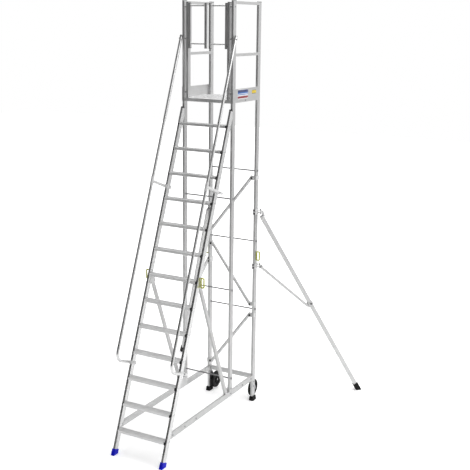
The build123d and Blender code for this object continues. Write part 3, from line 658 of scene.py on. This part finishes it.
class LADDER_OT_outrigger_boots(LadderOperator, bpy.types.Operator):
    """Moulds each outrigger's rubber foot and its clamping knob"""

    bl_idname = "ladder.outrigger_boots"
    bl_label = "Outrigger feet"

    def build(self, context):
        for side, sign in SIDES:
            out = np.array([sign * cos(STANCE), sin(STANCE), 0.0])
            level = np.cross(out, Z_AXIS)
            swing = np.array([sign * SWING_X, SWING_Y, 0.0])
            at = lambda z: swing + out * (LEG_REACH - LEG_LEAN * z) + Z_AXIS * z
            axis = unit(at(1.0) - at(0.0))
            deep = np.cross(level, axis)
            profile = [(0.0, -0.003), (0.03, 0.0), (0.10, 0.0), (0.12, -0.002), (0.17, -0.002), (0.19, 0.0),
                       (0.27, 0.0), (0.29, -0.002), (0.34, -0.002), (0.36, -0.0004), (0.78, -0.0020),
                       (0.80, -0.0006), (0.97, -0.0006), (1.0, -0.003), (1.0, -0.0068)]
            skin = Skin()
            skin.add(boot(at(0.085), axis, level, deep, 0.0295, 0.0295, 0.007, profile))
            knob = at(1.131) + level * 0.0285
            skin.add(lobed_knob(knob, level, 0.009, 0.014))
            skin.make("outrigger_boot_" + side, "outrigger_" + side, shared("black rubber"),
                      35.0, ["outrigger_foot_" + side])


def lobed_knob(centre, axis, radius, high, lobes=6, count=48):
    """A clamping knob: the outline's radius swells and dips as cos(lobes a), under a slightly domed top."""
    a = np.arange(count) * TAU / count
    u, v = square_to(axis)
    out = np.cos(a)[:, None] * u + np.sin(a)[:, None] * v
    wave = 1 + 0.10 * np.cos(lobes * a)
    rows = [(0.55, 0.0, 0), (0.55, 0.25, 0), (0.90, 0.32, 1), (0.96, 0.40, 1), (0.96, 0.86, 1),
            (0.88, 0.96, 1), (0.5, 1.0, 0), (0.1, 1.0, 0)]
    round_wave = np.ones(count)
    rings = np.array([np.asarray(centre) + (radius * r * (wave if lobed else round_wave))[:, None] * out
                      + unit(axis) * high * h for r, h, lobed in rows])
    return closed_surface(rings)


class LADDER_OT_clamp_knobs(LadderOperator, bpy.types.Operator):
    """Turns the black knobs on the diagonals' clamps"""

    bl_idname = "ladder.clamp_knobs"
    bl_label = "Clamp knobs"

    def build(self, context):
        skin = Skin()
        for heights, sign in (((2.617, 1.172, 1.040), 1), ((2.000, 1.816, 0.389), -1)):
            for z in heights:
                skin.add(lobed_knob((sign * 0.257, CLAMP_FACE, z), -Y_AXIS, 0.0105, 0.0145))
        skin.make("clamp_knobs", "frame", shared("black plastic"), 35.0)


class LADDER_OT_locking_pins(LadderOperator, bpy.types.Operator):
    """Bends the locking pins' loops and turns their shafts"""

    bl_idname = "ladder.locking_pins"
    bl_label = "Locking pins"

    def build(self, context):
        places = {"stringer": stringer_mid(0, 1.775), "post": np.array([0, REAR_POST, 1.785])}
        rod = details().loop
        half_wide, half_high = 0.024, 0.056
        for place, centre in places.items():
            for side, sign in SIDES:
                body = f"lock_pin_{place}_{side}"
                middle = (sign * (OUTER + 0.003 + half_wide), centre[1], centre[2] + 0.005 - half_high)
                flat = rounded_loop(half_wide - rod, half_high - rod, 0.010, 10)
                path = np.array(middle) + flat[:, :1] * X_AXIS + flat[:, 1:] * Z_AXIS
                loop = Skin()
                loop.add(ring_of_tube(path, Y_AXIS, rod))
                loop.make(f"pin_loop_{place}_{side}", body, shared("pin handle"), 60.0,
                          [body])
                start = np.array([sign * (INNER - 0.009), centre[1], centre[2]])
                shaft = Skin()
                profile = [(0.0030, 0.0), (0.0042, 0.0012), (0.0049, 0.003), (0.0049, 0.030), (0.0049, 0.039),
                           (0.0049, 0.044), (0.0040, 0.0455)]
                shaft.add(turned(start, X_AXIS * sign, profile, 20))
                shaft.make(f"pin_shaft_{place}_{side}", body, shared("zinc"), 40.0)


class LADDER_OT_fasteners(LadderOperator, bpy.types.Operator):
    """Sets the domed rivets, washered bolts and nuts"""

    bl_idname = "ladder.fasteners"
    bl_label = "Fasteners"

    def build(self, context):
        sizes = details()
        skin = Skin()
        rivet, bolt, washer, nut = sizes.rivet, sizes.bolt, sizes.washer, sizes.nut
        dome = [(rivet, 0.0), (rivet * 0.98, 0.0006), (rivet * 0.80, 0.0016), (rivet * 0.45, 0.0023),
                (0.0004, 0.0025)]
        ring = [(washer, 0.0), (washer, 0.0010), (washer * 0.97, 0.0012), (bolt * 0.8, 0.0012)]
        head = [(bolt * 0.86, 0.0, 1), (bolt, 0.0012, 1), (bolt, 0.0042, 1), (bolt * 0.93, 0.0047, 0.6),
                (bolt * 0.80, 0.0050, 0), (bolt * 0.3, 0.0048, 0)]
        big = [(nut, 0.0, 1), (nut, 0.0078, 1), (nut * 0.94, 0.0086, 0.6), (nut * 0.82, 0.0090, 0),
               (0.0072, 0.0090, 0), (0.0070, 0.0075, 0), (0.004, 0.0075, 0)]
        rail_bolts = (0.205, 0.430, 0.648, 1.385, 1.655, 1.860)
        # the stringer's centre line, square across from the handrail at height z
        across = lambda z: hand_mid(0, z) + (HAND_FORWARD * cos(LEAN) + DEEP / 2) * BACK
        for _, sign in SIDES:
            out = X_AXIS * sign
            for level in RISER * np.arange(1, TREADS + 1):
                for back in (0.020, 0.046):
                    skin.add(turned((sign * OUTER, front_y(level) + back, level - 0.014), out, dome, 14))
            bolts = [(sign * OUTER, FRONT + y, RAIL_MID) for y in rail_bolts]
            bolts += [(sign * OUTER, REAR_POST, z) for z in (0.170, 0.225)]
            bolts += [(sign * OUTER, FRONT_POST, z) for z in (0.342, 4.425)]
            bolts += [(sign * BOARD_FACE, FRONT + 1.625, 3.484)]
            bolts += [(sign * (HAND_X + HAND_R), *hand_mid(0, 4.105)[1:])]
            bolts += [(sign * (HAND_X + HAND_R), *across(z)[1:]) for z in (0.967, 2.692)]
            for place in bolts:
                skin.add(turned(place, out, ring, 20))
                skin.add(turned(place, out, head, 24, sides=6))
            nuts = [(FRONT_POST, z) for z in FRONT_RODS] + [(REAR_POST, z) for z in REAR_RODS]
            for y, z in nuts:
                skin.add(turned((sign * OUTER, y, z), out, big, 36, sides=6))
            skin.add(turned((sign * INNER, WHEEL_Y, WHEEL_Z), out, big, 36, sides=6))
        skin.make("rivets_bolts_nuts", "frame", shared("zinc"), 35.0, ["fasteners"])


class LADDER_OT_swing_bolts(LadderOperator, bpy.types.Operator):
    """Puts black domed nuts on the outriggers' swing pins and collars"""

    bl_idname = "ladder.swing_bolts"
    bl_label = "Swing bolts"

    def build(self, context):
        skin = Skin()
        nut = [(0.0095, 0.0, 1), (0.0095, 0.005, 1), (0.0085, 0.0058, 0.5), (0.0070, 0.0075, 0),
               (0.0045, 0.0098, 0), (0.0010, 0.0106, 0)]
        for _, sign in SIDES:
            for z in COLLAR_HEIGHTS:
                for up in (1, -1):
                    skin.add(turned((sign * SWING_X, SWING_Y, z + up * 0.0167), Z_AXIS * up, nut, sides=6))
                    skin.add(turned((sign * SIDE_X, COLLAR_FACE, z + up * 0.018), -Y_AXIS, nut, sides=6))
        skin.make("swing_bolts", "frame", shared("black plastic"), 35.0)


class LADDER_OT_welds(LadderOperator, bpy.types.Operator):
    """Lays the weld beads of the gates, the gate posts' spacers and the tie rods"""

    bl_idname = "ladder.welds"
    bl_label = "Weld beads"

    def build(self, context):
        size = details().weld
        stile_y, post_y = FRONT_POST - DEEP / 2 + HALF_TUBE, FRONT_POST - 0.005
        gate_bars, bar_ends = (4.053, 4.433), (0.0375, 0.203)
        spacers, spacer_ends = (3.560, 4.105, 4.425), (0.2555, INNER)
        for side, sign in SIDES:
            gate = Skin()
            for z in gate_bars:
                for x in bar_ends:
                    gate.add(bead((sign * x, stile_y, z), X_AXIS, 0.008, size))
            gate.make("gate_welds_" + side, "gate_" + side, shared("casting"), 60.0)
        posts = Skin()
        for _, sign in SIDES:
            for z in spacers:
                for x in spacer_ends:
                    posts.add(bead((sign * x, post_y, z), X_AXIS, 0.010, size))
            for y, heights in ((FRONT_POST, FRONT_RODS), (REAR_POST, REAR_RODS)):
                for z in heights:
                    posts.add(bead((sign * INNER, y, z), X_AXIS, 0.007, size * 0.8))
        posts.make("post_welds", "frame", shared("casting"), 60.0)


class LADDER_OT_tyres(LadderOperator, bpy.types.Operator):
    """Turns the grooved solid tyres"""

    bl_idname = "ladder.tyres"
    bl_label = "Tyres"

    def build(self, context):
        deep = details().groove
        half = [(0.0715, 0.0135), (0.074, 0.0160), (0.080, 0.0160), (0.0815, 0.0152), (0.083, 0.0160),
                (0.090, 0.0158), (0.0955, 0.0138), (0.0985, 0.0105), (0.0997, 0.0075),
                (0.0997 - deep, 0.0068), (0.0997 - deep, 0.0052), (0.0999, 0.0045), (0.100, 0.0015)]
        profile = np.array([(r, -x) for r, x in half] + [(r, x) for r, x in half[::-1]])
        for side, sign in SIDES:
            centre = np.array([sign * WHEEL_X, WHEEL_Y, WHEEL_Z])
            a = np.arange(96) * TAU / 96
            out = np.cos(a)[:, None] * Y_AXIS + np.sin(a)[:, None] * Z_AXIS
            rings = centre + profile[None, :, :1] * out[:, None] + profile[None, :, 1:] * X_AXIS
            skin = Skin()
            skin.add(looped_surface(rings))
            skin.make("tyre_" + side, "wheel_" + side, shared("tyre"), 40.0,
                      ["wheel_tyre_" + side])


class LADDER_OT_labels(LadderOperator, bpy.types.Operator):
    """Sticks the plain coloured label and the warning mark on the toe board"""

    bl_idname = "ladder.labels"
    bl_label = "Labels"

    def build(self, context):
        low, high = 3.500, 3.600
        white, navy, sky, red = (0.86, 0.86, 0.86), (0.02, 0.04, 0.16), (0.03, 0.16, 0.52), (0.30, 0.02, 0.03)
        bands = [(0.0, white), (0.08, red), (0.30, white), (0.42, sky), (0.50, white), (0.56, sky),
                 (0.68, navy), (0.94, white)]
        sheet = Skin()
        sheet.add(sheet_box(BOARD_FACE, FRONT + 1.459, FRONT + 1.680, low, high))
        sheet.make("toe_label", "frame", banded("label bands", bands, low, high), 30.0)
        black, amber = (0.02, 0.02, 0.02), (0.80, 0.58, 0.02)
        warning = [(0.0, black), (0.12, amber), (0.88, black)]
        low, high = 3.542, 3.579
        mark = Skin()
        mark.add(sheet_box(BOARD_FACE, FRONT + 1.767, FRONT + 1.860, low, high))
        mark.make("toe_mark", "frame", banded("mark bands", warning, low, high), 30.0)


def sheet_box(x, y_low, y_high, z_low, z_high, thick=0.0004, corner=0.004):
    """A thin printed sheet lying on a face that looks along X: a rounded rectangle with a bevelled rim."""
    loop = rounded_loop((y_high - y_low) / 2, (z_high - z_low) / 2, corner)
    middle = np.array([x, (y_low + y_high) / 2, (z_low + z_high) / 2])
    rows = [(0.0, 0.0), (0.0, thick * 0.6), (thick, thick)]
    rings = [middle + (loop[:, :1] - np.sign(loop[:, :1]) * inset) * Y_AXIS
             + (loop[:, 1:] - np.sign(loop[:, 1:]) * inset) * Z_AXIS + X_AXIS * lift for inset, lift in rows]
    return closed_surface(np.array(rings))


class LADDER_OT_stage(LadderOperator, bpy.types.Operator):
    """Sets up the camera, the floor and the soft light"""

    bl_idname = "ladder.stage"
    bl_label = "Studio"

    def build(self, context):
        studio = context.scene.ladder_studio
        self.camera(context, studio)
        self.floor(studio)
        self.world(context)
        self.lights(context, studio)
        context.scene.view_settings.view_transform = "Standard"

    def camera(self, context, studio):
        """Aims the camera by its heading, dip and tilt."""
        heading, dip, tilt = studio.heading, studio.dip, studio.tilt
        ahead = Vector((-sin(heading) * cos(dip), cos(heading) * cos(dip), -sin(dip)))
        right = Vector((cos(heading), sin(heading), 0.0))
        above = right.cross(ahead)
        across, upward = right * cos(tilt) + above * sin(tilt), above * cos(tilt) - right * sin(tilt)
        turn = Matrix((across, upward, -ahead)).transposed()
        camera = bpy.data.objects.new("studio_camera", bpy.data.cameras.new("studio_camera"))
        camera.data.lens = studio.lens
        camera.data.clip_end = 100.0
        camera.matrix_world = Matrix.Translation(studio.eye) @ turn.to_4x4()
        context.scene.collection.objects.link(camera)
        context.scene.camera = camera

    def floor(self, studio):
        """A floor, cut off in front so that the highest front faces mirror the dark room. It carries painted
        light: it glows to the camera, dimmer near the ladder and brighter outward, and glows faintly to every
        other ray.
        """
        mesh = bpy.data.meshes.new("studio_floor")
        reach, front = 25.0, -10.0
        corners = [(-reach, front, 0), (reach, front, 0), (reach, reach, 0), (-reach, reach, 0)]
        mesh.from_pydata(corners, [], [(0, 1, 2, 3)])
        floor = bpy.data.objects.new("studio_floor", mesh)
        bpy.context.scene.collection.objects.link(floor)
        material, tree, shader, place = blank("studio floor")
        noise = node(tree, "ShaderNodeTexNoise", {}, Vector=place, Scale=3.0, Detail=4.0)
        tone = tuple(studio.floor)
        dull = tuple(c * 0.9 for c in tone)
        cloudy = math(tree, "MULTIPLY", noise.outputs[0], 0.03)
        tree.links.new(mixed(tree, cloudy, tone, dull), shader.inputs["Base Color"])
        shader.inputs["Roughness"].default_value = 0.6
        shader.inputs["Emission Color"].default_value = (1.0, 1.0, 1.0, 1.0)
        # Painted light: the floor's emission to the camera rises from 0.30 near the ladder to 1.0 six metres
        # out, and it glows at 0.05 to all other rays.
        far = node(tree, "ShaderNodeVectorMath", {"operation": "LENGTH"}, Vector=place).outputs["Value"]
        painted_glow = ramped(tree, far, 1.2, 6.0, 0.30, 1.0)
        seen = tree.nodes.new("ShaderNodeLightPath").outputs["Is Camera Ray"]
        tree.links.new(math(tree, "MAXIMUM", math(tree, "MULTIPLY", seen, painted_glow), 0.05),
                       shader.inputs["Emission Strength"])
        mesh.materials.append(material)

    def world(self, context):
        """White to the camera. Its light is bright behind and to the right of the ladder, dark in front."""
        world = bpy.data.worlds.new("studio_world")
        world.use_nodes = True
        tree = world.node_tree
        ambient = tree.nodes["Background"]
        backdrop = node(tree, "ShaderNodeBackground", {}, Color=(1.0, 1.0, 1.0, 1.0), Strength=1.0)
        away = node(tree, "ShaderNodeSeparateXYZ", {},
                    Vector=tree.nodes.new("ShaderNodeTexCoord").outputs["Generated"])
        lean = math(tree, "ADD", math(tree, "MULTIPLY", away.outputs["X"], 0.45), away.outputs["Y"])
        lean = math(tree, "ADD", lean, math(tree, "MULTIPLY", away.outputs["Z"], 0.35))
        tree.links.new(ramped(tree, lean, -0.70, 0.45, 0.02, 0.78), ambient.inputs["Strength"])
        ambient.inputs["Color"].default_value = (1.0, 1.0, 1.0, 1.0)
        seen = tree.nodes.new("ShaderNodeLightPath").outputs["Is Camera Ray"]
        blend = tree.nodes.new("ShaderNodeMixShader")
        for index, socket in enumerate((seen, ambient.outputs[0], backdrop.outputs[0])):
            tree.links.new(socket, blend.inputs[index])
        tree.links.new(blend.outputs[0], tree.nodes["World Output"].inputs["Surface"])
        context.scene.world = world

    def lights(self, context, studio):
        """Three soft panels."""
        panels = (("key", (6.0, 1.0, 7.0), (0, 0, 1.8), 4.0, studio.key),
                  ("top", (0.5, 1.0, 9.0), (0, 0.5, 0), 6.0, studio.key * 3.0),
                  ("fill", (-5.5, -3.5, 4.5), (0, 0, 2.0), 3.0, studio.key * 0.10))
        for name, place, target, size, power in panels:
            lamp = bpy.data.lights.new("studio_" + name, "AREA")
            lamp.size = size
            lamp.energy = power
            holder = bpy.data.objects.new("studio_" + name, lamp)
            aim = (Vector(target) - Vector(place)).to_track_quat("-Z", "Y")
            holder.matrix_world = Matrix.Translation(place) @ aim.to_matrix().to_4x4()
            context.scene.collection.objects.link(holder)


OPERATORS = (LADDER_OT_finish_metal, LADDER_OT_front_boots, LADDER_OT_rear_boots, LADDER_OT_outrigger_boots,
             LADDER_OT_clamp_knobs, LADDER_OT_locking_pins, LADDER_OT_fasteners, LADDER_OT_swing_bolts,
             LADDER_OT_welds, LADDER_OT_tyres, LADDER_OT_labels, LADDER_OT_stage)


class LADDER_PT_panel(bpy.types.Panel):
    """Lists the ladder's colours, sizes and operators"""

    bl_idname = "LADDER_PT_panel"
    bl_label = "Ladder"
    bl_space_type = "VIEW_3D"
    bl_region_type = "UI"
    bl_category = "Ladder"

    def draw(self, context):
        """Draws the settings above the operators."""
        scene = context.scene
        for group in (scene.ladder_finishes, scene.ladder_details, scene.ladder_studio):
            for key in group.__annotations__:
                self.layout.prop(group, key)
        for operator in OPERATORS:
            self.layout.operator(operator.bl_idname)


CLASSES = (LadderFinishes, LadderDetails, LadderStudio, *OPERATORS, LADDER_PT_panel)


def register():
    """Registers the classes and the scene's settings."""
    for item in CLASSES:
        bpy.utils.register_class(item)
    bpy.types.Scene.ladder_finishes = bpy.props.PointerProperty(type=LadderFinishes)
    bpy.types.Scene.ladder_details = bpy.props.PointerProperty(type=LadderDetails)
    bpy.types.Scene.ladder_studio = bpy.props.PointerProperty(type=LadderStudio)


def unregister():
    """Takes the settings and the classes away again."""
    del bpy.types.Scene.ladder_studio, bpy.types.Scene.ladder_details, bpy.types.Scene.ladder_finishes
    for item in reversed(CLASSES):
        bpy.utils.unregister_class(item)


def main():
    """Builds every piece."""
    register()
    for operator in OPERATORS:
        group, name = operator.bl_idname.split(".")
        getattr(getattr(bpy.ops, group), name)()


if __name__ == "__main__":
    main()
